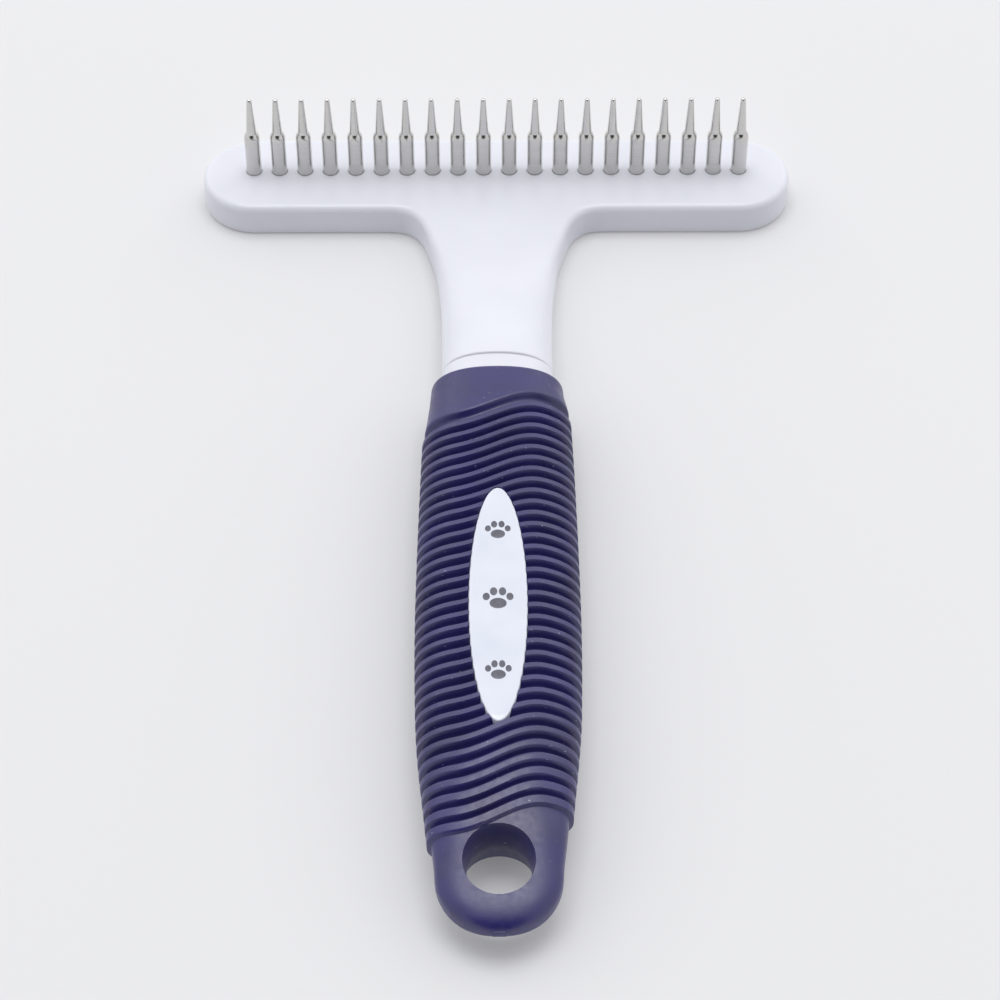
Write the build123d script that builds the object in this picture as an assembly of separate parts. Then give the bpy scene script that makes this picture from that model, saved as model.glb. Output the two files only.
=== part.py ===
from build123d import *
import math
import os

# Undercoat rake with turning pins, in millimetres.
# +Y runs from the tail of the handle to the head, +X runs along the head bar and +Z is the way the
# pins point. The rake lies on its back on z = 0, and the origin is below the middle of its outline.

# Overall
LENGTH = 189.7
FRONT_END = LENGTH / 2
TAIL_END = -LENGTH / 2

# Head bar
BAR_WIDTH = 114.9
BAR_DEPTH = 20.5
BAR_THICKNESS = 6.8
BAR_Y = FRONT_END - BAR_DEPTH / 2
BAR_FRONT_ROUNDING = 1.4
BAR_BACK_ROUNDING = 0.9

# Pins
PIN_COUNT = 20
PIN_PITCH = 5.0
PIN_ROW_Y = FRONT_END - 9.5
PIN_REACH = 18.2
PIN_BARREL_RADIUS = 1.5
PIN_BARREL_REACH = 8.4
PIN_SHOULDER_REACH = 9.8
PIN_CONE_RADIUS = 1.0
PIN_TIP_RADIUS = 0.5
PIN_FLANGE_RADIUS = 2.05
PIN_FLANGE_THICKNESS = 1.2
RUNNING_CLEARANCE = 0.05
END_FLOAT = 0.1
FLANGE_CLEARANCE = 0.1

# Back cover of the head
COVER_LENGTH = 104.0
COVER_DEPTH = 8.0
COVER_THICKNESS = 1.6

# Neck, collar and the tang inside the grip. Places along the handle count from the end of the tail
HANDLE_Z = 8.2
NECK_END_Y = TAIL_END + 121.6
GRIP_START_Y = TAIL_END + 118.4
COLLAR_HALF_WIDTH = 10.2
COLLAR_HALF_THICKNESS = 6.0
TANG_END_Y = TAIL_END + 25.0
TANG_WALL = 2.0
TANG_COVER_START_Y = TAIL_END + 113.0
WEB_THICKNESS = 1.6
WEB_SPACING = 20.0
WEB_COUNT = 4
FIRST_WEB_Y = TAIL_END + 97.0
FRONT_SIDE = 20.0
INSIDE_HALF_WIDTH = 30.0

# Grip
RIB_HEIGHT = 1.1

# Hanging hole and tail
HOLE_Y = TAIL_END + 11.1
HOLE_LAND_RADIUS = 5.2
HOLE_RIM_RADIUS = 6.1
HOLE_LAND_LENGTH = 3.0
HOLE_RIM_RISE = 2.6
HOLE_FLARE_RISE = 3.5
HOLE_Z = 7.7
TAIL_RADIUS = 10.4
NUB_WIDTH = 2.6
NUB_HEIGHT = 1.2
NUB_LENGTH = 1.0

# Badge
BADGE_Y = TAIL_END + 61.2
BADGE_LENGTH = 51.5
BADGE_WIDTH = 10.0
BADGE_FLOOR_Z = 14.2
BADGE_RISE = 1.0
BADGE_CUT_HEIGHT = 10.0
PEG_RADIUS = 1.2
PEG_DEPTH = 2.6
PEG_SPACING = 24.0

# Ovals used for every section across the handle
OVAL_POINTS = 28
ROUND = 2.3
SQUARE = 5.0

# Sections of the grip without its ribs: y, half width, half thickness, height of the middle, power
GRIP_SECTIONS = [
    (GRIP_START_Y, 11.2, 6.4, HANDLE_Z, ROUND),
    (GRIP_START_Y - 1.2, 11.8, 6.8, HANDLE_Z, ROUND),
    (TAIL_END + 111.0, 12.25, 7.0, HANDLE_Z, ROUND),
    (TAIL_END + 98.0, 12.6, 7.05, HANDLE_Z, ROUND),
    (TAIL_END + 78.0, 13.0, 7.07, HANDLE_Z, ROUND),
    (TAIL_END + 60.0, 13.15, 7.07, HANDLE_Z, ROUND),
    (TAIL_END + 43.0, 12.85, 7.0, HANDLE_Z, ROUND),
    (TAIL_END + 32.0, 12.3, 6.55, HANDLE_Z + 0.15, ROUND),
    (TAIL_END + 20.0, 11.35, 4.9, HANDLE_Z + 0.2, 2.6),
    (TAIL_END + 16.5, 11.0, 4.35, HANDLE_Z + 0.05, 2.8),
    (TAIL_END + TAIL_RADIUS, 10.4, 3.65, HANDLE_Z - 0.7, 3.0),
    (TAIL_END + 6.8, 9.77, 3.25, HANDLE_Z - 1.2, 3.0),
    (TAIL_END + 3.95, 8.2, 3.0, HANDLE_Z - 1.55, 3.0),
    (TAIL_END + 2.15, 6.4, 2.75, HANDLE_Z - 1.6, 3.0),
    (TAIL_END + 1.0, 4.5, 2.2, HANDLE_Z - 1.6, 2.6),
    (TAIL_END + 0.4, 2.9, 1.5, HANDLE_Z - 1.6, 2.4),
    (TAIL_END + 0.1, 1.5, 0.85, HANDLE_Z - 1.6, 2.2),
]

# The part of the grip that carries ribs
RIBBED_SECTIONS = slice(2, 9)

# Sections of the neck: it swells from an oval at the collar to a flat, flared slab at the bar
NECK_SECTIONS = [
    (NECK_END_Y, 10.15, 6.45, HANDLE_Z, ROUND),
    (NECK_END_Y + 0.9, 10.25, 6.7, HANDLE_Z, ROUND),
    (NECK_END_Y + 8.0, 10.25, 6.2, 7.55, 2.5),
    (NECK_END_Y + 16.0, 10.4, 5.2, 6.3, 2.8),
    (NECK_END_Y + 24.0, 10.85, 4.2, 4.85, 3.4),
    (NECK_END_Y + 32.0, 11.6, 3.55, 3.8, 4.0),
    (NECK_END_Y + 38.5, 12.9, 3.35, 3.42, SQUARE),
    (NECK_END_Y + 42.5, 14.2, 3.33, 3.38, SQUARE),
    (NECK_END_Y + 45.4, 15.5, 3.33, 3.38, SQUARE),
    (NECK_END_Y + 47.2, 18.2, 3.33, 3.38, SQUARE),
    (NECK_END_Y + 49.0, 21.5, 3.33, 3.38, SQUARE),
    (NECK_END_Y + 52.5, 24.5, 3.33, 3.38, SQUARE),
]

# Sections of the tang that runs inside the grip
TANG_SECTIONS = [
    (NECK_END_Y - 1.0, 9.4, 4.9, HANDLE_Z, ROUND),
    (TAIL_END + 98.0, 9.8, 4.7, HANDLE_Z, ROUND),
    (TAIL_END + 60.0, 10.2, 4.7, HANDLE_Z, ROUND),
    (TAIL_END + 38.0, 9.8, 4.5, HANDLE_Z, ROUND),
    (TANG_END_Y, 8.6, 3.2, HANDLE_Z, ROUND),
]


def oval_point(turn, half_width, half_thickness, power):
    across = math.copysign(abs(math.cos(turn)) ** (2 / power), math.cos(turn))
    up = math.copysign(abs(math.sin(turn)) ** (2 / power), math.sin(turn))
    return half_width * across, half_thickness * up


def oval(y, half_width, half_thickness, middle_z, power):
    points = []
    for step in range(OVAL_POINTS):
        turn = 2 * math.pi * step / OVAL_POINTS
        x, z = oval_point(turn, half_width, half_thickness, power)
        points.append(Vector(x, y, middle_z + z))
    return Wire([Edge.make_spline(points, periodic=True)])


def skin(sections, grow=0.0):
    rings = [oval(y, w + grow, t + grow, z, power) for y, w, t, z, power in sections]
    return Solid.make_loft(rings)


def cylinder_z(x, y, radius, low, high):
    return Pos(x, y, (low + high) / 2) * Cylinder(radius, high - low)


def block(x_range, y_range, z_range):
    size = [high - low for low, high in (x_range, y_range, z_range)]
    middle = [(high + low) / 2 for low, high in (x_range, y_range, z_range)]
    return Pos(*middle) * Box(*size)


def pin_positions():
    first = -(PIN_COUNT - 1) / 2 * PIN_PITCH
    return [first + number * PIN_PITCH for number in range(PIN_COUNT)]


def head_bar():
    bar = extrude(Pos(0, BAR_Y, 0) * SlotOverall(BAR_WIDTH, BAR_DEPTH), BAR_THICKNESS)
    bar = fillet(bar.edges().group_by(Axis.Z)[-1], BAR_FRONT_ROUNDING)
    return fillet(bar.edges().group_by(Axis.Z)[0], BAR_BACK_ROUNDING)


def pin_seats():
    bore_radius = PIN_BARREL_RADIUS + RUNNING_CLEARANCE
    seat_radius = PIN_FLANGE_RADIUS + FLANGE_CLEARANCE
    seat_top = COVER_THICKNESS + PIN_FLANGE_THICKNESS + 2 * END_FLOAT
    seats = []
    for x in pin_positions():
        seats.append(cylinder_z(x, PIN_ROW_Y, bore_radius, COVER_THICKNESS, BAR_THICKNESS + 1))
        seats.append(cylinder_z(x, PIN_ROW_Y, seat_radius, COVER_THICKNESS, seat_top))
    return seats


def cover_strip():
    return extrude(Pos(0, PIN_ROW_Y, 0) * SlotOverall(COVER_LENGTH, COVER_DEPTH), COVER_THICKNESS)


def collar():
    ends = [
        (NECK_END_Y + 0.6, COLLAR_HALF_WIDTH, COLLAR_HALF_THICKNESS, HANDLE_Z, ROUND),
        (GRIP_START_Y, COLLAR_HALF_WIDTH, COLLAR_HALF_THICKNESS, HANDLE_Z, ROUND),
    ]
    return skin(ends)


def tang_cavity():
    inner = []
    for y, half_width, half_thickness, middle_z, power in TANG_SECTIONS:
        inner.append((y, half_width - TANG_WALL, half_thickness - TANG_WALL, middle_z, power))
    inner[0] = (TANG_COVER_START_Y - 2, *inner[0][1:])
    inner[-1] = (TANG_END_Y + 3, *inner[-1][1:])
    return skin(inner)


def back_half():
    wide = (-INSIDE_HALF_WIDTH, INSIDE_HALF_WIDTH)
    return block(wide, (TANG_END_Y - 5, TANG_COVER_START_Y), (HANDLE_Z - FRONT_SIDE, HANDLE_Z))


def tang_webs():
    wide = (-INSIDE_HALF_WIDTH, INSIDE_HALF_WIDTH)
    webs = []
    for number in range(WEB_COUNT):
        y = FIRST_WEB_Y - WEB_SPACING * number
        webs.append(block(wide, (y, y + WEB_THICKNESS), (HANDLE_Z, HANDLE_Z + FRONT_SIDE)))
    return webs


def peg_positions():
    return [BADGE_Y - PEG_SPACING / 2, BADGE_Y + PEG_SPACING / 2]


def badge_pegs():
    low = BADGE_FLOOR_Z - PEG_DEPTH
    return [cylinder_z(0, y, PEG_RADIUS, low, BADGE_FLOOR_Z) for y in peg_positions()]


def head_frame(tang, cavity):
    head = head_bar() + skin(NECK_SECTIONS) + collar()
    head = head - cover_strip() - pin_seats()
    core = tang - (cavity - tang_webs())
    core = core - back_half()
    return head + core - badge_pegs()


def tang_back_cover(tang, cavity):
    return (tang - cavity) & back_half()


def badge_prism():
    outline = Pos(0, BADGE_Y, BADGE_FLOOR_Z) * Ellipse(BADGE_WIDTH / 2, BADGE_LENGTH / 2)
    return extrude(outline, BADGE_CUT_HEIGHT)


def badge():
    plate = badge_prism() & skin(GRIP_SECTIONS[2:8], BADGE_RISE)
    return plate + badge_pegs()


def ribbed_sleeve():
    return skin(GRIP_SECTIONS[RIBBED_SECTIONS], RIB_HEIGHT)


def hanging_hole():
    low = HOLE_Z - HOLE_LAND_LENGTH / 2
    high = HOLE_Z + HOLE_LAND_LENGTH / 2
    hole = cylinder_z(0, HOLE_Y, HOLE_LAND_RADIUS, HOLE_Z - FRONT_SIDE, HOLE_Z + FRONT_SIDE)
    rise = HOLE_FLARE_RISE
    wide_end = HOLE_LAND_RADIUS + (HOLE_RIM_RADIUS - HOLE_LAND_RADIUS) * rise / HOLE_RIM_RISE
    front = Pos(0, HOLE_Y, high + rise / 2) * Cone(HOLE_LAND_RADIUS, wide_end, rise)
    back = Pos(0, HOLE_Y, low - rise / 2) * Cone(wide_end, HOLE_LAND_RADIUS, rise)
    return hole + front + back


def gate_nub():
    low = GRIP_SECTIONS[-1][3] - NUB_HEIGHT / 2
    across = (-NUB_WIDTH / 2, NUB_WIDTH / 2)
    return block(across, (TAIL_END, TAIL_END + NUB_LENGTH), (low, low + NUB_HEIGHT))


def grip(tang):
    body = skin(GRIP_SECTIONS) + ribbed_sleeve() + gate_nub()
    return body - tang - hanging_hole() - badge_prism() - badge_pegs()


def pin(x):
    base = COVER_THICKNESS + END_FLOAT
    neck = base + PIN_FLANGE_THICKNESS
    face = BAR_THICKNESS
    tip = face + PIN_REACH
    with BuildSketch(Plane.XZ) as half:
        with BuildLine():
            Polyline((0, base), (PIN_FLANGE_RADIUS, base), (PIN_FLANGE_RADIUS, neck))
            Line((PIN_FLANGE_RADIUS, neck), (PIN_BARREL_RADIUS, neck))
            Line((PIN_BARREL_RADIUS, neck), (PIN_BARREL_RADIUS, face + PIN_BARREL_REACH))
            TangentArc(
                (PIN_BARREL_RADIUS, face + PIN_BARREL_REACH),
                (PIN_CONE_RADIUS, face + PIN_SHOULDER_REACH),
                tangent=(0, 1),
            )
            Line((PIN_CONE_RADIUS, face + PIN_SHOULDER_REACH), (PIN_TIP_RADIUS, tip - PIN_TIP_RADIUS))
            TangentArc((PIN_TIP_RADIUS, tip - PIN_TIP_RADIUS), (0, tip), tangent=(0, 1))
            Line((0, tip), (0, base))
        make_face()
    return Pos(x, PIN_ROW_Y, 0) * revolve(half.sketch, Axis.Z)


def save(shape, name):
    export_step(shape, f"parts/{name}.step")


def main():
    os.makedirs("parts", exist_ok=True)
    tang = skin(TANG_SECTIONS)
    cavity = tang_cavity()
    save(head_frame(tang, cavity), "head_frame")
    save(cover_strip(), "head_back_cover")
    save(tang_back_cover(tang, cavity), "tang_back_cover")
    save(grip(tang), "grip")
    save(badge(), "badge")
    for number, x in enumerate(pin_positions(), start=1):
        save(pin(x), f"pin_{number:02d}")


main()
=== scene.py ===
import math

import bmesh
import bpy
from mathutils import Matrix, Vector
from mathutils.geometry import delaunay_2d_cdt

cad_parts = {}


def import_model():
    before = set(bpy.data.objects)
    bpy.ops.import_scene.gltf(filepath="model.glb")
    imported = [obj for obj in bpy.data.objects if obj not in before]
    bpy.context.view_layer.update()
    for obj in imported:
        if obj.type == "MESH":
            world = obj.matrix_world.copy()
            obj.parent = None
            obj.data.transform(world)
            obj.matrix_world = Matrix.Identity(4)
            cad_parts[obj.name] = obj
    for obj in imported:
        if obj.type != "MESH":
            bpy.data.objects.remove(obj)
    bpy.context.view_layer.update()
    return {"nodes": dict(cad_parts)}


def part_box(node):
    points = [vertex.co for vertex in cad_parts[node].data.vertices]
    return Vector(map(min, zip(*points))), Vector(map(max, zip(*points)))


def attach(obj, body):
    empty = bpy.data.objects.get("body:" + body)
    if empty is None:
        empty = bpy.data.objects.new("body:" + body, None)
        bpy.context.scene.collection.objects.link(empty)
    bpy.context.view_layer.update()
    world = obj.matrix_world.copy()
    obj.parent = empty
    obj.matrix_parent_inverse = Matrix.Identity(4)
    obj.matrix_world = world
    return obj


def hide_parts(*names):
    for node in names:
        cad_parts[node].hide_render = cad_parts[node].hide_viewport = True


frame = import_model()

MM = 0.001


def node_box(name):
    """Low and high corners of a CAD node, in millimetres."""
    return [tuple(value / MM for value in corner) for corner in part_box(name)]


# Places and sizes, in millimetres, read from the frame where it holds them

HEAD_HIGH = node_box("head_frame")[1]
GRIP_LOW, GRIP_HIGH = node_box("grip")
COVER_LOW, COVER_HIGH = node_box("head_back_cover")
BADGE_LOW, BADGE_HIGH = node_box("badge")
PINS = sorted(name for name in frame["nodes"] if name.startswith("pin_"))

# Head: a bar with round ends, which flares into the neck
BAR_FAR_Y = HEAD_HIGH[1]
BAR_RADIUS = 10.25
BAR_Y = BAR_FAR_Y - BAR_RADIUS
BAR_NEAR_Y = BAR_Y - BAR_RADIUS
BAR_HALF_WIDTH = HEAD_HIGH[0]
PIN_ROW_Y = (COVER_LOW[1] + COVER_HIGH[1]) / 2
FACE_Z = 6.8
FRONT_ROUNDING = 1.4
BACK_ROUNDING = 0.9

# Handle: places along it count from the end of the tail
TAIL_END_Y = GRIP_LOW[1]
GRIP_START_Y = GRIP_HIGH[1]
NECK_END_Y = TAIL_END_Y + 121.6
SPLIT_Y = NECK_END_Y + 17.8
HANDLE_Z = 8.2
NECK_HALF_THICKNESS = 6.7
COLLAR_HALF_THICKNESS = 6.3
NECK_ROUNDING = 0.4
COLLAR_STEP_REACH = 3.8

# Ribs of the grip. EDGE values shape the end of the smooth zone before the first rib, in ribs along the
# handle, and the LATE ribs near the tail grow lower and wider.
RIB_COUNT = 34
FIRST_RIB_Y = TAIL_END_Y + 105.5
LAST_RIB_Y = TAIL_END_Y + 19.1
RIB_PITCH = (FIRST_RIB_Y - LAST_RIB_Y) / (RIB_COUNT - 1)
RIB_HEIGHT = 1.08
GROOVE_DEPTH = 0.42
EDGE_RISE = 0.75
EDGE_PLACE = -1.28
EDGE_DROP = 0.42
LATE_RIBS = 8
LATE_RIB_LOSS = 0.35
# Half widths of a crest's flat and of its foot, in ribs, for an early rib and for the last one
CREST_FLAT = (0.17, 0.24)
CREST_FOOT = (0.45, 0.48)
WAVE_RISE = 2.45
WAVE_CENTRE_X = 0.3
WAVE_REACH = 7.6

# Hanging hole, tail and the nub left by moulding
HOLE_Y = TAIL_END_Y + 11.1
HOLE_Z = 7.7
HOLE_LAND_RADIUS = 5.2
HOLE_RIM_RADIUS = 6.1
TAIL_EDGE_REACH = 5.2
TAIL_RADIUS = 10.4
NUB_HALF_WIDTH = 1.3
NUB_Z = HANDLE_Z - 1.6

# Badge
BADGE_Y = (BADGE_LOW[1] + BADGE_HIGH[1]) / 2
BADGE_HALF_LENGTH = (BADGE_HIGH[1] - BADGE_LOW[1]) / 2
BADGE_HALF_WIDTH = BADGE_HIGH[0]
BADGE_RISE = 1.0

# Pins
PIN_FLANGE_RADIUS = 2.05
PIN_BARREL_RADIUS = 1.5
PIN_SEAT_HIGH = 3.0


# Small helpers

def smooth_step(low, high, value):
    part = min(1.0, max(0.0, (value - low) / (high - low)))
    return part * part * (3 - 2 * part)


def mix(a, b, part):
    return a + (b - a) * part


def curve_through(stations, value):
    """Catmull-Rom curve through rows of (place, number, number, ...), with places falling."""
    if value >= stations[0][0]:
        return stations[0][1:]
    if value <= stations[-1][0]:
        return stations[-1][1:]
    index = 0
    while stations[index + 1][0] > value:
        index += 1
    rows = [stations[max(0, index - 1)], stations[index], stations[index + 1],
            stations[min(len(stations) - 1, index + 2)]]
    span = rows[1][0] - rows[2][0]
    part = (rows[1][0] - value) / span
    result = []
    for column in range(1, len(rows[1])):
        slopes = []
        for before, middle, after in ((rows[0], rows[1], rows[2]), (rows[1], rows[2], rows[3])):
            reach = before[0] - after[0]
            slopes.append((after[column] - before[column]) / reach * span)
        a, b = rows[1][column], rows[2][column]
        result.append(
            (2 * part**3 - 3 * part**2 + 1) * a
            + (part**3 - 2 * part**2 + part) * slopes[0]
            + (3 * part**2 - 2 * part**3) * b
            + (part**3 - part**2) * slopes[1]
        )
    return result


def oval_point(turn, half_width, half_thickness, power):
    across = math.copysign(abs(math.cos(turn)) ** (2 / power), math.cos(turn))
    up = math.copysign(abs(math.sin(turn)) ** (2 / power), math.sin(turn))
    return half_width * across, half_thickness * up


def make_piece(name, points, faces):
    """A mesh object from points in millimetres."""
    mesh = bpy.data.meshes.new(name)
    mesh.from_pydata([Vector(point) * MM for point in points], [], faces)
    mesh.validate()
    mesh.polygons.foreach_set("use_smooth", [True] * len(mesh.polygons))
    piece = bpy.data.objects.new(name, mesh)
    bpy.context.scene.collection.objects.link(piece)
    return piece


def tidy_mesh(piece, merge=0.004):
    """Welds doubles and turns every face outwards."""
    mesh = bmesh.new()
    mesh.from_mesh(piece.data)
    bmesh.ops.remove_doubles(mesh, verts=mesh.verts, dist=merge * MM)
    bmesh.ops.dissolve_degenerate(mesh, dist=merge * MM / 4, edges=mesh.edges)
    bmesh.ops.recalc_face_normals(mesh, faces=mesh.faces)
    mesh.to_mesh(piece.data)
    mesh.free()


def loft(name, rings):
    """A closed piece through rings of equal length, capped at both ends."""
    count = len(rings[0])
    points = [point for ring in rings for point in ring]
    faces = []
    for row in range(len(rings) - 1):
        for column in range(count):
            a = row * count + column
            b = row * count + (column + 1) % count
            faces.append((a, b, b + count, a + count))
    faces.append(tuple(range(count - 1, -1, -1)))
    last = (len(rings) - 1) * count
    faces.append(tuple(range(last, last + count)))
    piece = make_piece(name, points, faces)
    tidy_mesh(piece, 0.0005)
    return piece


def turned(name, profile, centre, steps=64):
    """A closed piece turned about a line along Z; profile is (radius, z), from bottom to top."""
    rings = []
    for radius, z in profile:
        ring = []
        for step in range(steps):
            turn = 2 * math.pi * step / steps
            ring.append((centre[0] + radius * math.cos(turn), centre[1] + radius * math.sin(turn), z))
        rings.append(ring)
    return loft(name, rings)


def cut(piece, cutter):
    """Takes the cutter out of the piece for good."""
    modifier = piece.modifiers.new("cut", "BOOLEAN")
    modifier.operation = "DIFFERENCE"
    modifier.solver = "EXACT"
    modifier.object = cutter
    apply_modifiers(piece)
    bpy.data.objects.remove(cutter)


def apply_modifiers(piece):
    depsgraph = bpy.context.evaluated_depsgraph_get()
    mesh = bpy.data.meshes.new_from_object(piece.evaluated_get(depsgraph))
    piece.modifiers.clear()
    piece.data = mesh


def join(name, pieces):
    """One object from several, without merging anything."""
    target = bmesh.new()
    for piece in pieces:
        target.from_mesh(piece.data)
    mesh = bpy.data.meshes.new(name)
    target.to_mesh(mesh)
    target.free()
    for piece in pieces:
        bpy.data.objects.remove(piece)
    result = bpy.data.objects.new(name, mesh)
    bpy.context.scene.collection.objects.link(result)
    return result


# Head

def arc(centre, radius, start, end, steps):
    points = []
    for step in range(steps + 1):
        turn = math.radians(mix(start, end, step / steps))
        points.append((centre[0] + radius * math.cos(turn), centre[1] + radius * math.sin(turn)))
    return points


NECK_SIDES = [
    (BAR_NEAR_Y - 7.3, 13.3),
    (BAR_NEAR_Y - 10.6, 12.4),
    (BAR_NEAR_Y - 13.6, 11.75),
    (BAR_NEAR_Y - 21.2, 10.95),
    (BAR_NEAR_Y - 28.3, 10.45),
    (BAR_NEAR_Y - 36.6, 10.25),
    (NECK_END_Y, 10.15),
]
# x, distance from the near edge of the bar
FLARE = [
    (12.4, -10.6), (13.3, -7.3), (14.15, -4.6), (15.2, -2.6), (16.5, -1.25), (18.0, -0.45), (20.0, -0.08),
    (23.0, 0.0),
]


def path_through(points, steps):
    """Points along a smooth curve through all but the first of the points given."""
    ends = points + [(2 * points[-1][0] - points[-2][0], 2 * points[-1][1] - points[-2][1])]
    result = []
    for a, b, c, d in zip(ends, ends[1:], ends[2:], ends[3:]):
        for step in range(steps):
            t = step / steps
            result.append(tuple(
                0.5 * (2 * q + (r - p) * t
                       + (2 * p - 5 * q + 4 * r - v) * t**2
                       + (3 * q - p - 3 * r + v) * t**3)
                for p, q, r, v in zip(a, b, c, d)))
    return result


def neck_half_width(y):
    return curve_through(NECK_SIDES, y)[0]


def head_outline():
    """Right-hand side from the split in the neck, round the bar, to the middle of the far edge."""
    right = []
    y = SPLIT_Y
    while y < BAR_NEAR_Y + FLARE[1][1] - 0.3:
        right.append((neck_half_width(y), y))
        y += 0.8
    right += [(x, BAR_NEAR_Y + place) for x, place in path_through(FLARE, 6)]
    x = FLARE[-1][0]
    straight_end = BAR_HALF_WIDTH - BAR_RADIUS
    while x < straight_end - 0.5:
        right.append((x, BAR_NEAR_Y))
        x += 1.0
    right += arc((straight_end, BAR_Y), BAR_RADIUS, -90, 90, 60)
    x = straight_end - 1.0
    while x > 0.2:
        right.append((x, BAR_FAR_Y))
        x -= 1.0
    left = [(-x, y) for x, y in reversed(right)]
    return right + [(0.0, BAR_FAR_Y)] + left


NECK_RISE = [
    # y, height of the front, height of the back, front reach, back reach, front drop, back drop, power
    (BAR_NEAR_Y - 2.6, FACE_Z, 0.0, FRONT_ROUNDING, BACK_ROUNDING, FRONT_ROUNDING, BACK_ROUNDING, 2.0),
    (NECK_END_Y + 38.5, 6.84, 0.03, 2.1, 1.3, 1.9, 1.2, 2.0),
    (NECK_END_Y + 32.0, 7.3, 0.12, 3.4, 2.2, 2.6, 1.6, 2.0),
    (NECK_END_Y + 24.0, 8.95, 0.45, 5.8, 4.4, 3.6, 2.7, 2.05),
    (NECK_END_Y + 16.0, 11.3, 0.9, 8.2, 7.4, 4.9, 4.2, 2.15),
    (NECK_END_Y + 8.0, 13.6, 1.3, 9.8, 9.6, 6.0, 5.6, 2.25),
    (NECK_END_Y + 0.9, HANDLE_Z + NECK_HALF_THICKNESS, HANDLE_Z - NECK_HALF_THICKNESS, 10.15, 10.15,
     NECK_HALF_THICKNESS, NECK_HALF_THICKNESS, 2.3),
    (NECK_END_Y - 2, HANDLE_Z + NECK_HALF_THICKNESS, HANDLE_Z - NECK_HALF_THICKNESS, 10.15, 10.15,
     NECK_HALF_THICKNESS, NECK_HALF_THICKNESS, 2.3),
]


def head_height(y, inset, front):
    """Height of the front or back surface, at a distance inside the outline."""
    face, back, front_reach, back_reach, front_drop, back_drop, power = curve_through(NECK_RISE, y)
    reach, drop = (front_reach, front_drop) if front else (back_reach, back_drop)
    part = min(1.0, max(0.0, inset / reach))
    sink = drop * (1 - (1 - (1 - part) ** power) ** (1 / power))
    return face - sink if front else back + sink


def neck_height(y, inset, sink, front):
    """Height of the neck's surface, or of the collar's where sink is 1."""
    z = head_height(y, inset, front)
    if y >= NECK_END_Y + COLLAR_STEP_REACH:
        return z
    drop = sink * (NECK_HALF_THICKNESS - COLLAR_HALF_THICKNESS)
    return HANDLE_Z + (z - HANDLE_Z) * (1 - drop / NECK_HALF_THICKNESS)


INSETS = [0.0, 0.03, 0.1, 0.22, 0.4, 0.62, 0.9, 1.25, 1.65, 2.1]
GRID = 0.85
# Least distance from a grid point to the innermost ring, and to a hole
RING_GAP = 0.45
HOLE_GAP = 0.4


def inset_outline(outline, distance):
    """The open outline moved inwards along its normals. Its ends stay on the split line."""
    moved = []
    for index, (x, y) in enumerate(outline):
        before = outline[max(0, index - 1)]
        after = outline[min(len(outline) - 1, index + 1)]
        dx, dy = after[0] - before[0], after[1] - before[1]
        size = math.hypot(dx, dy)
        moved.append((x - dy / size * distance, y + dx / size * distance))
    moved[0] = (outline[0][0] - distance, SPLIT_Y)
    moved[-1] = (outline[-1][0] + distance, SPLIT_Y)
    return moved


def distance_to(outline, x, y):
    best = 1e9
    for (ax, ay), (bx, by) in zip(outline, outline[1:]):
        if min(abs(ax - x), abs(bx - x)) > best and min(abs(ay - y), abs(by - y)) > best:
            continue
        dx, dy = bx - ax, by - ay
        part = ((x - ax) * dx + (y - ay) * dy) / (dx * dx + dy * dy)
        part = min(1.0, max(0.0, part))
        best = min(best, math.hypot(ax + part * dx - x, ay + part * dy - y))
    return best


def inside(outline, x, y):
    result = False
    previous = outline[-1]
    for point in outline:
        if (point[1] > y) != (previous[1] > y):
            cross = point[0] + (y - point[1]) / (previous[1] - point[1]) * (previous[0] - point[0])
            if x < cross:
                result = not result
        previous = point
    return result


def slot_outline(half_length, half_depth, steps=24):
    ends = arc((half_length - half_depth, PIN_ROW_Y), half_depth, -90, 90, steps)
    return ends + [(-x, y) for x, y in reversed(ends)]


def split_samples():
    """Places across the neck where the two halves of the head mesh meet."""
    half = neck_half_width(SPLIT_Y)
    places = [half - inset for inset in INSETS]
    inner = places[-1]
    steps = 18
    places += [inner - 2 * inner * step / steps for step in range(1, steps)]
    return places + [-place for place in reversed(places[:len(INSETS)])]


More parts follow.
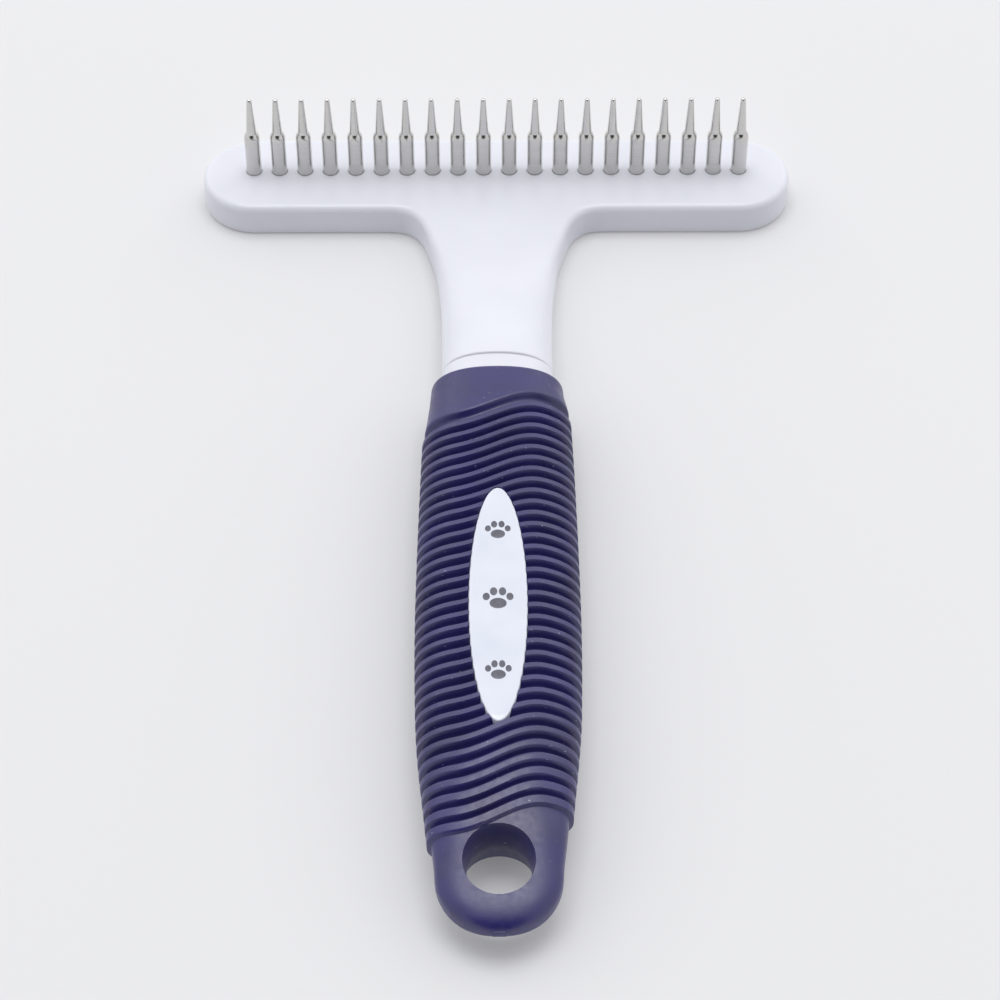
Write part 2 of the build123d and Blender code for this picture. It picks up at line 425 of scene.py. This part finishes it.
def head_sheet(outline, front, pocket=None):
    """Points and faces of the front or back surface of the head, from the split line to the far edge."""
    flat, heights, edges = [], [], []
    for inset in INSETS:
        ring = inset_outline(outline, inset)
        start = len(flat)
        for x, y in ring:
            flat.append((x, y))
            heights.append(head_height(y, inset, front))
        edges += [(start + i, start + i + 1) for i in range(len(ring) - 1)]
    for x in split_samples()[len(INSETS):-len(INSETS)]:
        flat.append((x, SPLIT_Y))
        inset = distance_to(outline, x, SPLIT_Y)
        heights.append(head_height(SPLIT_Y, inset, front))
    corner = [i for i, (x, y) in enumerate(flat) if abs(y - SPLIT_Y) < 1e-6]
    corner.sort(key=lambda i: flat[i][0])
    edges += list(zip(corner, corner[1:]))
    hole = pocket or []
    start = len(flat)
    for x, y in hole:
        flat.append((x, y))
        heights.append(0.0)
    edges += [(start + i, start + (i + 1) % len(hole)) for i in range(len(hole))]
    limit = INSETS[-1] + RING_GAP
    closed = outline + [outline[0]]
    y = SPLIT_Y + GRID * 0.8
    row = 0
    while y < BAR_FAR_Y:
        x = -BAR_HALF_WIDTH + (row % 2) * GRID / 2
        while x < BAR_HALF_WIDTH:
            if inside(closed, x, y) and not (hole and inside(hole, x, y)):
                inset = distance_to(outline, x, y)
                far_from_hole = not hole or distance_to(hole + [hole[0]], x, y) > HOLE_GAP
                if inset > limit and far_from_hole:
                    flat.append((x, y))
                    heights.append(head_height(y, inset, front))
            x += GRID
        y += GRID
        row += 1
    points, _, faces, origins, _, _ = delaunay_2d_cdt([Vector(p) for p in flat], edges, [], 0, 1e-5)
    result_z = []
    for index, sources in enumerate(origins):
        result_z.append(heights[sources[0]] if sources else head_height(points[index].y, 3.0, front))
    kept = []
    for face in faces:
        x = sum(points[i].x for i in face) / len(face)
        y = sum(points[i].y for i in face) / len(face)
        if inside(closed, x, y) and not (hole and inside(hole, x, y)):
            kept.append(tuple(face))
    return [(p.x, p.y, z) for p, z in zip(points, result_z)], kept


def head_shell():
    outline = head_outline()
    pocket = slot_outline(COVER_HIGH[0] + 0.12, (COVER_HIGH[1] - COVER_LOW[1]) / 2 + 0.12)
    points, faces = head_sheet(outline, True)
    back_points, back_faces = head_sheet(outline, False, pocket)
    offset = len(points)
    points += back_points
    faces += [tuple(offset + i for i in reversed(face)) for face in back_faces]

    # Wall round the edge, from the back rounding to the front rounding
    offset = len(points)
    levels = 6
    for x, y in outline:
        low, high = head_height(y, 0, False), head_height(y, 0, True)
        points += [(x, y, mix(low, high, level / levels)) for level in range(levels + 1)]
    for index in range(len(outline) - 1):
        for level in range(levels):
            a = offset + index * (levels + 1) + level
            b = a + levels + 1
            faces.append((a, b, b + 1, a + 1))

    # Walls and ceiling of the pocket for the back cover
    offset = len(points)
    count = len(pocket)
    for z in (0.0, COVER_HIGH[2] + 0.01):
        points += [(x, y, z) for x, y in pocket]
    for index in range(count):
        a, b = offset + index, offset + (index + 1) % count
        faces.append((a, b, b + count, a + count))
    faces.append(tuple(range(offset + count, offset + 2 * count)))

    # Neck below the split, its rounded end, the collar and the stub inside the grip
    across = split_samples()
    rows = []
    neck_steps = 22
    for step in range(neck_steps + 1):
        y = mix(SPLIT_Y, NECK_END_Y + NECK_ROUNDING, step / neck_steps)
        rows.append((y, 0.0))
    for step in range(1, 9):
        turn = step / 8 * math.pi / 2
        rows.append((NECK_END_Y + NECK_ROUNDING * (1 - math.sin(turn)), 1 - math.cos(turn)))
    rows += [(NECK_END_Y + 0.05, 1.0 + 0.001), (NECK_END_Y - 0.4, 1.001)]
    rows += [(GRIP_START_Y - 0.1, 1.001), (GRIP_START_Y - 1.0, 1.001)]
    offset = len(points)
    levels_between = levels - 1
    half = neck_half_width(SPLIT_Y)
    for y, sink in rows:
        scale = neck_half_width(y) / half
        row = [(x * scale, y, neck_height(y, (half - abs(x)) * scale, sink, True)) for x in across]
        low, high = head_height(y, 0, False), head_height(y, 0, True)
        left_wall = [(-half * scale, y, mix(high, low, (k + 1) / levels)) for k in range(levels_between)]
        right_wall = [(half * scale, y, mix(low, high, (k + 1) / levels)) for k in range(levels_between)]
        bottom = [(x * scale, y, neck_height(y, (half - abs(x)) * scale, sink, False))
                  for x in reversed(across)]
        ring = row + left_wall + bottom + right_wall
        points += ring
    count = len(ring)
    for step in range(len(rows) - 1):
        for column in range(count):
            a = offset + step * count + column
            b = offset + step * count + (column + 1) % count
            faces.append((a, b, b + count, a + count))
    last = offset + (len(rows) - 1) * count
    faces.append(tuple(range(last, last + count)))
    piece = make_piece("head_shell", points, faces)
    tidy_mesh(piece)
    return piece


def pin_places():
    places = []
    for name in PINS:
        low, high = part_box(name)
        places.append(((low[0] + high[0]) / 2 / MM, (low[1] + high[1]) / 2 / MM))
    return places


def bore_cutter():
    pieces = []
    bore = PIN_BARREL_RADIUS + 0.05
    seat = PIN_FLANGE_RADIUS + 0.1
    profile = [(seat, COVER_HIGH[2] - 0.5), (seat, PIN_SEAT_HIGH), (bore, PIN_SEAT_HIGH), (bore, FACE_Z - 0.04),
               (bore + 0.04, FACE_Z), (bore + 0.06, FACE_Z + 0.5)]
    for place in pin_places():
        pieces.append(turned("bore", profile, place, 32))
    return join("bores", pieces)


# Grip

GRIP_SECTIONS = [
    # y, half width, half thickness, height of the middle, power
    (GRIP_START_Y, 12.0, 6.95, HANDLE_Z, 2.3),
    (TAIL_END_Y + 113.5, 12.15, 7.0, HANDLE_Z, 2.3),
    (TAIL_END_Y + 108.0, 12.3, 7.03, HANDLE_Z, 2.3),
    (TAIL_END_Y + 98.0, 12.6, 7.05, HANDLE_Z, 2.3),
    (TAIL_END_Y + 78.0, 13.0, 7.07, HANDLE_Z, 2.3),
    (TAIL_END_Y + 60.0, 13.15, 7.07, HANDLE_Z, 2.3),
    (TAIL_END_Y + 43.0, 12.85, 7.0, HANDLE_Z, 2.3),
    (TAIL_END_Y + 32.0, 12.3, 6.55, HANDLE_Z + 0.15, 2.3),
    (TAIL_END_Y + 20.0, 11.35, 4.9, HANDLE_Z + 0.2, 2.6),
    (TAIL_END_Y + 16.5, 11.0, 4.35, HANDLE_Z + 0.05, 2.8),
    (HOLE_Y, TAIL_RADIUS, 3.65, HANDLE_Z - 0.7, 3.0),
    (TAIL_END_Y + 6.8, TAIL_RADIUS, 3.25, HANDLE_Z - 1.2, 3.0),
    (TAIL_END_Y + 3.2, TAIL_RADIUS, 3.0, HANDLE_Z - 1.55, 3.0),
    (TAIL_END_Y, TAIL_RADIUS, 2.9, HANDLE_Z - 1.6, 3.0),
]
TAIL_ROUND_Y = TAIL_END_Y + TAIL_RADIUS + 0.1
MOUTH_REACH = 1.3
MOUTH_DROP = 0.9
AROUND = 176
# Rows of the skin in its rounded mouth, its smooth zone, the edge of that zone, each rib and the tail
MOUTH_STEPS = 7
SMOOTH_STEPS = 12
EDGE_STEPS = 9
STEPS_PER_RIB = 16
TAIL_STEPS = 64
TAIL_EASING = 1.9


def wave(x):
    along = max(-1.0, min(1.0, (x - WAVE_CENTRE_X) / WAVE_REACH))
    return WAVE_RISE * math.sin(along * math.pi / 2)


def rib_lift(nominal):
    """Height of the ribs, and depth of the grooves between them, at a nominal place along the handle."""
    place = (FIRST_RIB_Y - nominal) / RIB_PITCH
    if place < -0.5:
        return mix(EDGE_RISE, -GROOVE_DEPTH, smooth_step(EDGE_PLACE, EDGE_PLACE + EDGE_DROP, place))
    off = place - min(RIB_COUNT - 1, round(place))
    if off > 0.5:
        return 0.0
    late = smooth_step(RIB_COUNT - 1 - LATE_RIBS, RIB_COUNT - 1, place)
    crest = 1 - smooth_step(mix(*CREST_FLAT, late), mix(*CREST_FOOT, late), abs(off))
    lift = mix(-GROOVE_DEPTH, RIB_HEIGHT * (1 - LATE_RIB_LOSS * late), crest)
    return max(lift, 0.0) if place > RIB_COUNT - 1 else lift


def grip_section(y):
    half_width, half_thickness, middle, power = curve_through(GRIP_SECTIONS, y)
    into = TAIL_ROUND_Y - y
    if into > 0:
        share = min(1.0, into / TAIL_RADIUS)
        half_width = min(half_width, TAIL_RADIUS) * math.sqrt(max(0.0, 1 - share**2))
    left = y - (TAIL_END_Y + 0.1)
    if left < TAIL_EDGE_REACH:
        share = max(0.0, 1 - left / TAIL_EDGE_REACH)
        half_thickness *= math.sqrt(max(0.0, 1 - share**2))
    return half_width, half_thickness, middle, power


def grip_ring(nominal, waviness, lift, grow=0.0):
    ring = []
    for step in range(AROUND):
        turn = 2 * math.pi * step / AROUND
        y = nominal
        for _ in range(3):
            half_width, half_thickness, middle, power = grip_section(y)
            x, z = oval_point(turn, half_width + lift + grow, half_thickness + lift + grow, power)
            y = nominal + waviness * wave(x)
        ring.append((x, y, middle + z))
    return ring


def grip_rows():
    """(nominal y, waviness, lift) of every row of the grip's outer skin."""
    rows = []
    for step in range(MOUTH_STEPS):
        turn = step / MOUTH_STEPS * math.pi / 2
        rows.append((GRIP_START_Y - MOUTH_REACH * (1 - math.cos(turn)), 0.0,
                     -MOUTH_DROP * (1 - math.sin(turn))))
    top = FIRST_RIB_Y + RIB_PITCH / 2
    edge = FIRST_RIB_Y - EDGE_PLACE * RIB_PITCH
    for step in range(SMOOTH_STEPS):
        part = step / SMOOTH_STEPS
        rows.append((mix(GRIP_START_Y - MOUTH_REACH, edge, part), smooth_step(0, 1, part),
                     EDGE_RISE * part**1.5))
    for step in range(EDGE_STEPS):
        nominal = mix(edge, top, step / EDGE_STEPS)
        rows.append((nominal, 1.0, rib_lift(nominal)))
    for number in range(RIB_COUNT):
        for step in range(STEPS_PER_RIB + 1):
            if step == 0 and number:
                continue
            part = step / STEPS_PER_RIB
            bend = part - math.sin(2 * math.pi * part * 2) * 0.018
            nominal = top - (number + bend) * RIB_PITCH
            rows.append((nominal, 1.0, rib_lift(nominal)))
    low = LAST_RIB_Y - RIB_PITCH / 2
    end = TAIL_END_Y + 0.1
    for step in range(1, TAIL_STEPS + 1):
        part = step / TAIL_STEPS
        eased = 1 - (1 - part) ** TAIL_EASING
        y = mix(low, end + 0.01, eased)
        rows.append((y, 1 - smooth_step(0, 0.35, part), 0.0))
    return rows


def grip_skin():
    rings = [grip_ring(*row) for row in grip_rows()]
    return loft("grip_skin", rings)


FLARE_DEPTH = 3.8
FLARE_TOP = 4.2
FLARE_POWER = 1.15
LAND_HALF_DEPTH = 0.25


def hole_cutter():
    """The hanging hole: a narrow land in the middle, flared towards both faces."""
    profile = [(HOLE_RIM_RADIUS + 0.5, HOLE_Z - 6.5), (HOLE_RIM_RADIUS + 0.05, HOLE_Z - 4.1)]
    levels = 16
    for step in range(levels + 1):
        z = mix(-FLARE_DEPTH, FLARE_TOP, step / levels)
        share = min(1.0, max(0.0, (abs(z) - LAND_HALF_DEPTH) / FLARE_DEPTH))
        profile.append((mix(HOLE_LAND_RADIUS, HOLE_RIM_RADIUS, share**FLARE_POWER), HOLE_Z + z))
    profile += [(HOLE_RIM_RADIUS + 0.08, HOLE_Z + 4.6), (HOLE_RIM_RADIUS + 0.3, HOLE_Z + 8.0)]
    return turned("hole", profile, (0, HOLE_Y), 96)


def ellipse_outline(half_length, half_width, steps=120):
    points = []
    for step in range(steps):
        turn = 2 * math.pi * step / steps
        points.append((half_width * math.cos(turn), BADGE_Y + half_length * math.sin(turn)))
    return points


def surface_z(x, y, grow):
    """Height of the plain front surface of the grip, moved out by grow."""
    half_width, half_thickness, middle, power = grip_section(y)
    share = min(1.0, abs(x) / (half_width + grow))
    return middle + (half_thickness + grow) * (1 - share**power) ** (1 / power)


def badge_cutter():
    rings = []
    for low in (True, False):
        ring = []
        for x, y in ellipse_outline(BADGE_HALF_LENGTH + 0.06, BADGE_HALF_WIDTH + 0.06):
            ring.append((x, y, surface_z(x, y, -1.0) if low else HANDLE_Z + 12))
        rings.append(ring)
    return loft("badge_pocket", rings)


def tang_cutter():
    rings = []
    stations = [
        (GRIP_START_Y + 2, 10.2, 6.35, HANDLE_Z), (GRIP_START_Y - 1.2, 10.2, 6.35, HANDLE_Z),
        (GRIP_START_Y - 5.0, 9.45, 4.95, HANDLE_Z), (TAIL_END_Y + 98.0, 9.82, 4.72, HANDLE_Z),
        (TAIL_END_Y + 60.0, 10.22, 4.72, HANDLE_Z), (TAIL_END_Y + 38.0, 9.82, 4.52, HANDLE_Z),
        (TAIL_END_Y + 25.0, 8.62, 3.22, HANDLE_Z),
    ]
    for y, half_width, half_thickness, middle in stations:
        ring = []
        for step in range(64):
            x, z = oval_point(2 * math.pi * step / 64, half_width, half_thickness, 2.3)
            ring.append((x, y, middle + z))
        rings.append(ring)
    return loft("tang_space", rings)


def gate_nub():
    """A small rounded pad on the end of the tail."""
    rings = []
    for y, shrink in ((1.0, 0.0), (0.12, 0.0), (0.03, 0.06), (0.005, 0.18)):
        wide, high = NUB_HALF_WIDTH - shrink, 0.6 - shrink
        ring = []
        for step in range(32):
            x, z = oval_point(2 * math.pi * step / 32, wide, high, 6.0)
            ring.append((x, TAIL_END_Y + y, NUB_Z + z))
        rings.append(ring)
    return loft("nub", rings)


def grip():
    piece = grip_skin()
    cut(piece, tang_cutter())
    cut(piece, badge_cutter())
    cut(piece, hole_cutter())
    piece = join("grip_skin", [piece, gate_nub()])
    piece.data.polygons.foreach_set("use_smooth", [True] * len(piece.data.polygons))
    sharpen(piece, 50)
    return piece


def sharpen(piece, degrees):
    """Marks edges sharper than an angle, so that smooth shading stops there."""
    mesh = bmesh.new()
    mesh.from_mesh(piece.data)
    for edge in mesh.edges:
        edge.smooth = edge.calc_face_angle(0) < math.radians(degrees)
    for face in mesh.faces:
        face.smooth = True
    mesh.to_mesh(piece.data)
    mesh.free()


# Badge

def badge_plate():
    """An oval plate that follows the curve of the grip, with a soft rounded rim."""
    outline = ellipse_outline(BADGE_HALF_LENGTH, BADGE_HALF_WIDTH)
    rings = [[(x, y, surface_z(x, y, -0.95)) for x, y in outline]]
    rim = 0.25
    shares = [(0.0, 1.0), (0.15, 0.62), (0.4, 0.3), (0.7, 0.09), (1.0, 0.0)]
    for share, sink in shares:
        inset = rim * share
        outline = ellipse_outline(BADGE_HALF_LENGTH - inset, BADGE_HALF_WIDTH - inset)
        rings.append([(x, y, surface_z(x, y, BADGE_RISE) - sink * rim) for x, y in outline])
    for step in range(1, 15):
        share = 1 - step / 15
        outline = ellipse_outline((BADGE_HALF_LENGTH - rim) * share, (BADGE_HALF_WIDTH - rim) * share)
        rings.append([(x, y, surface_z(x, y, BADGE_RISE)) for x, y in outline])
    return loft("badge_plate", rings)


# x, y, half width and half length of each toe, about the middle of its paw
TOES = [(-2.0, 0.75, 0.6, 0.82), (-0.75, 1.85, 0.62, 0.9), (0.75, 1.85, 0.62, 0.9), (2.0, 0.75, 0.6, 0.82)]


def paw_prints():
    """Three plain paw prints laid on the badge: one large pad and four toes each."""
    pads = []
    for centre, size in ((15.5, 0.85), (0.0, 1.0), (-15.5, 0.85)):
        pads.append((0.0, centre - 0.75 * size, 1.45 * size, 1.15 * size))
        for x, y, half_width, half_length in TOES:
            pads.append((x * size, centre + y * size, half_width * size, half_length * size))
    pieces = []
    for x0, y0, half_width, half_length in pads:
        rings = []
        for share, lift in ((1.0, -0.15), (1.0, 0.02), (0.95, 0.045), (0.6, 0.05), (0.2, 0.052)):
            ring = []
            for step in range(28):
                turn = 2 * math.pi * step / 28
                x = x0 + half_width * share * math.cos(turn)
                y = BADGE_Y + y0 + half_length * share * math.sin(turn)
                ring.append((x, y, surface_z(x, y, BADGE_RISE) + lift))
            rings.append(ring)
        pieces.append(loft("pad", rings))
    return join("badge_paws", pieces)


# Materials

def new_material(name, colour, roughness):
    material = bpy.data.materials.new(name)
    material.use_nodes = True
    shader = material.node_tree.nodes["Principled BSDF"]
    shader.inputs["Base Color"].default_value = (*colour, 1.0)
    shader.inputs["Roughness"].default_value = roughness
    return material, shader


def textured(material, kind, scale, stretch=(1, 1, 1), **settings):
    """A procedural texture laid out in the piece's own frame, in metres."""
    nodes, links = material.node_tree.nodes, material.node_tree.links
    place = nodes.new("ShaderNodeTexCoord")
    mapping = nodes.new("ShaderNodeMapping")
    mapping.inputs["Scale"].default_value = stretch
    links.new(place.outputs["Object"], mapping.inputs["Vector"])
    texture = nodes.new(kind)
    texture.inputs["Scale"].default_value = scale
    for name, value in settings.items():
        if name in texture.inputs:
            texture.inputs[name].default_value = value
        else:
            setattr(texture, name, value)
    links.new(mapping.outputs["Vector"], texture.inputs["Vector"])
    return texture


def ramp(material, source, stops):
    """Stops are (place, colour)."""
    node = material.node_tree.nodes.new("ShaderNodeValToRGB")
    for index, (place, colour) in enumerate(stops):
        element = node.color_ramp.elements[index] if index < 2 else node.color_ramp.elements.new(place)
        element.position = place
        element.color = (*colour, 1.0)
    material.node_tree.links.new(source, node.inputs["Fac"])
    return node.outputs["Color"]


def span_to(material, source, low, high):
    node = material.node_tree.nodes.new("ShaderNodeMapRange")
    node.inputs["From Min"].default_value = 0.3
    node.inputs["From Max"].default_value = 0.7
    node.inputs["To Min"].default_value = low
    node.inputs["To Max"].default_value = high
    material.node_tree.links.new(source, node.inputs["Value"])
    return node.outputs["Result"]


def bump(material, shader, source, strength, distance):
    node = material.node_tree.nodes.new("ShaderNodeBump")
    node.inputs["Strength"].default_value = strength
    node.inputs["Distance"].default_value = distance
    material.node_tree.links.new(source, node.inputs["Height"])
    material.node_tree.links.new(node.outputs["Normal"], shader.inputs["Normal"])


def blend(material, share, below, above):
    """Lays a plain colour, above, over a colour socket, below, by the share that a socket gives."""
    node = material.node_tree.nodes.new("ShaderNodeMix")
    node.data_type = "RGBA"
    node.inputs[7].default_value = (*above, 1.0)
    material.node_tree.links.new(share, node.inputs[0])
    material.node_tree.links.new(below, node.inputs[6])
    return node.outputs[2]


def white_plastic():
    material, shader = new_material("white_gloss_plastic", (0.63, 0.645, 0.71), 0.28)
    shader.inputs["Specular IOR Level"].default_value = 0.5
    links = material.node_tree.links
    cloud = textured(material, "ShaderNodeTexNoise", 90, Detail=3)
    stops = [(0.3, (0.700, 0.710, 0.775)), (0.7, (0.725, 0.735, 0.800))]
    links.new(ramp(material, cloud.outputs["Fac"], stops), shader.inputs["Base Color"])
    links.new(span_to(material, cloud.outputs["Fac"], 0.29, 0.31), shader.inputs["Roughness"])
    return material


def navy_rubber():
    material, shader = new_material("navy_soft_rubber", (0.010, 0.007, 0.095), 0.40)
    shader.inputs["Specular IOR Level"].default_value = 0.85
    shader.inputs["Sheen Weight"].default_value = 0.10
    shader.inputs["Sheen Roughness"].default_value = 0.45
    shader.inputs["Sheen Tint"].default_value = (0.75, 0.72, 0.95, 1)
    links = material.node_tree.links
    cloud = textured(material, "ShaderNodeTexNoise", 110, Detail=4)
    colour = ramp(material, cloud.outputs["Fac"], [(0.3, (0.007, 0.005, 0.082)), (0.7, (0.012, 0.008, 0.122))])
    lint = textured(material, "ShaderNodeTexNoise", 1900, Detail=1)
    specks = ramp(material, lint.outputs["Fac"], [(0.765, (0, 0, 0)), (0.80, (0.55, 0.55, 0.55))])
    links.new(blend(material, specks, colour, (0.55, 0.56, 0.62)), shader.inputs["Base Color"])
    fine = textured(material, "ShaderNodeTexNoise", 900, Detail=5)
    links.new(span_to(material, fine.outputs["Fac"], 0.33, 0.46), shader.inputs["Roughness"])
    grain = textured(material, "ShaderNodeTexNoise", 2600, Detail=3)
    bump(material, shader, grain.outputs["Fac"], 0.3, 0.00003)
    return material


def pin_steel():
    material, shader = new_material("pin_steel", (0.50, 0.49, 0.475), 0.2)
    shader.inputs["Metallic"].default_value = 1.0
    links = material.node_tree.links
    lines = textured(material, "ShaderNodeTexNoise", 60, (1, 1, 130), Detail=3)
    links.new(ramp(material, lines.outputs["Fac"], [(0.35, (0.58, 0.57, 0.555)), (0.65, (0.68, 0.67, 0.65))]),
              shader.inputs["Base Color"])
    links.new(span_to(material, lines.outputs["Fac"], 0.14, 0.22), shader.inputs["Roughness"])
    bump(material, shader, lines.outputs["Fac"], 0.1, 0.00001)
    return material


def badge_face():
    material, shader = new_material("badge_face", (0.68, 0.71, 0.80), 0.2)
    shader.inputs["Coat Weight"].default_value = 0.3
    shader.inputs["Coat Roughness"].default_value = 0.08
    links = material.node_tree.links
    cloud = textured(material, "ShaderNodeTexNoise", 120, Detail=3)
    links.new(ramp(material, cloud.outputs["Fac"], [(0.3, (0.65, 0.68, 0.775)), (0.7, (0.71, 0.735, 0.82))]),
              shader.inputs["Base Color"])
    fine = textured(material, "ShaderNodeTexNoise", 1400, Detail=3)
    links.new(span_to(material, fine.outputs["Fac"], 0.15, 0.27), shader.inputs["Roughness"])
    return material


def badge_print():
    material, shader = new_material("badge_print", (0.10, 0.10, 0.13), 0.35)
    links = material.node_tree.links
    cloud = textured(material, "ShaderNodeTexNoise", 700, Detail=3)
    links.new(ramp(material, cloud.outputs["Fac"], [(0.3, (0.085, 0.085, 0.11)), (0.7, (0.13, 0.13, 0.16))]),
              shader.inputs["Base Color"])
    return material


def dress(piece, material):
    piece.data.materials.clear()
    piece.data.materials.append(material)


# Stage

FLOOR_SIZE = 8
FLOOR_GLOW = 0.14
SURROUND_STRENGTH = 0.90
SURROUND_COLOUR = (0.985, 0.99, 1.0)
DIM_STRENGTH = 0.05
DIM_DIRECTION = (0.0, -0.83, 0.558)
# Cosines of the angle from the dim direction, where the dimming starts and where it is full
DIM_START = 0.74
DIM_FULL = 0.93


def stage():
    bpy.ops.mesh.primitive_plane_add(size=FLOOR_SIZE, location=(0, 0, 0))
    floor = bpy.context.object
    floor.name = "floor"
    material, shader = new_material("floor_light_table", (0.60, 0.60, 0.615), 0.75)
    shader.inputs["Emission Color"].default_value = (1, 1, 1, 1)
    shader.inputs["Emission Strength"].default_value = FLOOR_GLOW
    shader.inputs["Specular IOR Level"].default_value = 0.1
    dress(floor, material)


def light(name, place, size, power):
    """A soft panel that faces the middle of the rake."""
    data = bpy.data.lights.new(name, "AREA")
    data.shape = "RECTANGLE"
    data.size, data.size_y = size
    data.energy = power
    lamp = bpy.data.objects.new(name, data)
    lamp.location = place
    lamp.rotation_euler = (-Vector(place)).to_track_quat("-Z", "Y").to_euler()
    bpy.context.scene.collection.objects.link(lamp)


def world(strength, colour, dim):
    """A white surround that is dim in one fixed direction, low in front of the rake."""
    scene_world = bpy.data.worlds.new("studio")
    scene_world.use_nodes = True
    nodes, links = scene_world.node_tree.nodes, scene_world.node_tree.links
    background = nodes["Background"]
    background.inputs["Color"].default_value = (*colour, 1)
    place = nodes.new("ShaderNodeTexCoord")
    facing = nodes.new("ShaderNodeVectorMath")
    facing.operation = "DOT_PRODUCT"
    facing.inputs[1].default_value = DIM_DIRECTION
    links.new(place.outputs["Generated"], facing.inputs[0])
    fall = nodes.new("ShaderNodeMapRange")
    fall.interpolation_type = "SMOOTHSTEP"
    fall.inputs["From Min"].default_value = DIM_START
    fall.inputs["From Max"].default_value = DIM_FULL
    fall.inputs["To Min"].default_value = strength
    fall.inputs["To Max"].default_value = dim
    links.new(facing.outputs["Value"], fall.inputs["Value"])
    links.new(fall.outputs["Result"], background.inputs["Strength"])
    bpy.context.scene.world = scene_world


# Camera: its place in metres, and its right, up and back directions
CAMERA_LENS = 112.56
CAMERA_PLACE = (-0.00054, -0.37596, 0.41685)
CAMERA_RIGHT = (0.999994, -0.003400, -0.000764)
CAMERA_UP = (0.003028, 0.739144, 0.673540)
CAMERA_BACK = (-0.001725, -0.673539, 0.739150)


def camera():
    data = bpy.data.cameras.new("camera")
    data.lens = CAMERA_LENS
    data.sensor_width = 36.0
    eye = bpy.data.objects.new("camera", data)
    eye.location = CAMERA_PLACE
    turn = Matrix((CAMERA_RIGHT, CAMERA_UP, CAMERA_BACK)).transposed()
    eye.rotation_euler = turn.to_euler()
    bpy.context.scene.collection.objects.link(eye)
    bpy.context.scene.camera = eye


camera()
bpy.context.scene.view_settings.view_transform = "Standard"
world(SURROUND_STRENGTH, SURROUND_COLOUR, DIM_STRENGTH)
stage()
light("far_left", (-0.75, 0.75, 0.75), (0.75, 0.75), 1.2)
light("far_right", (0.75, 0.75, 0.75), (0.75, 0.75), 1.1)
light("overhead", (0.0, 0.22, 1.40), (1.0, 0.8), 8.1)

white = white_plastic()
navy = navy_rubber()
steel = pin_steel()
badge_material = badge_face()
print_material = badge_print()

head = head_shell()
cut(head, bore_cutter())
sharpen(head, 40)
dress(head, white)
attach(head, "handle")
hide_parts("head_frame")

sleeve = grip()
dress(sleeve, navy)
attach(sleeve, "handle")
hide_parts("grip")

plate = badge_plate()
sharpen(plate, 60)
dress(plate, badge_material)
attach(plate, "handle")
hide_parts("badge")

paws = paw_prints()
sharpen(paws, 50)
dress(paws, print_material)
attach(paws, "handle")

for name in ("head_back_cover", "tang_back_cover"):
    dress(frame["nodes"][name], white)
for name in PINS:
    dress(frame["nodes"][name], steel)
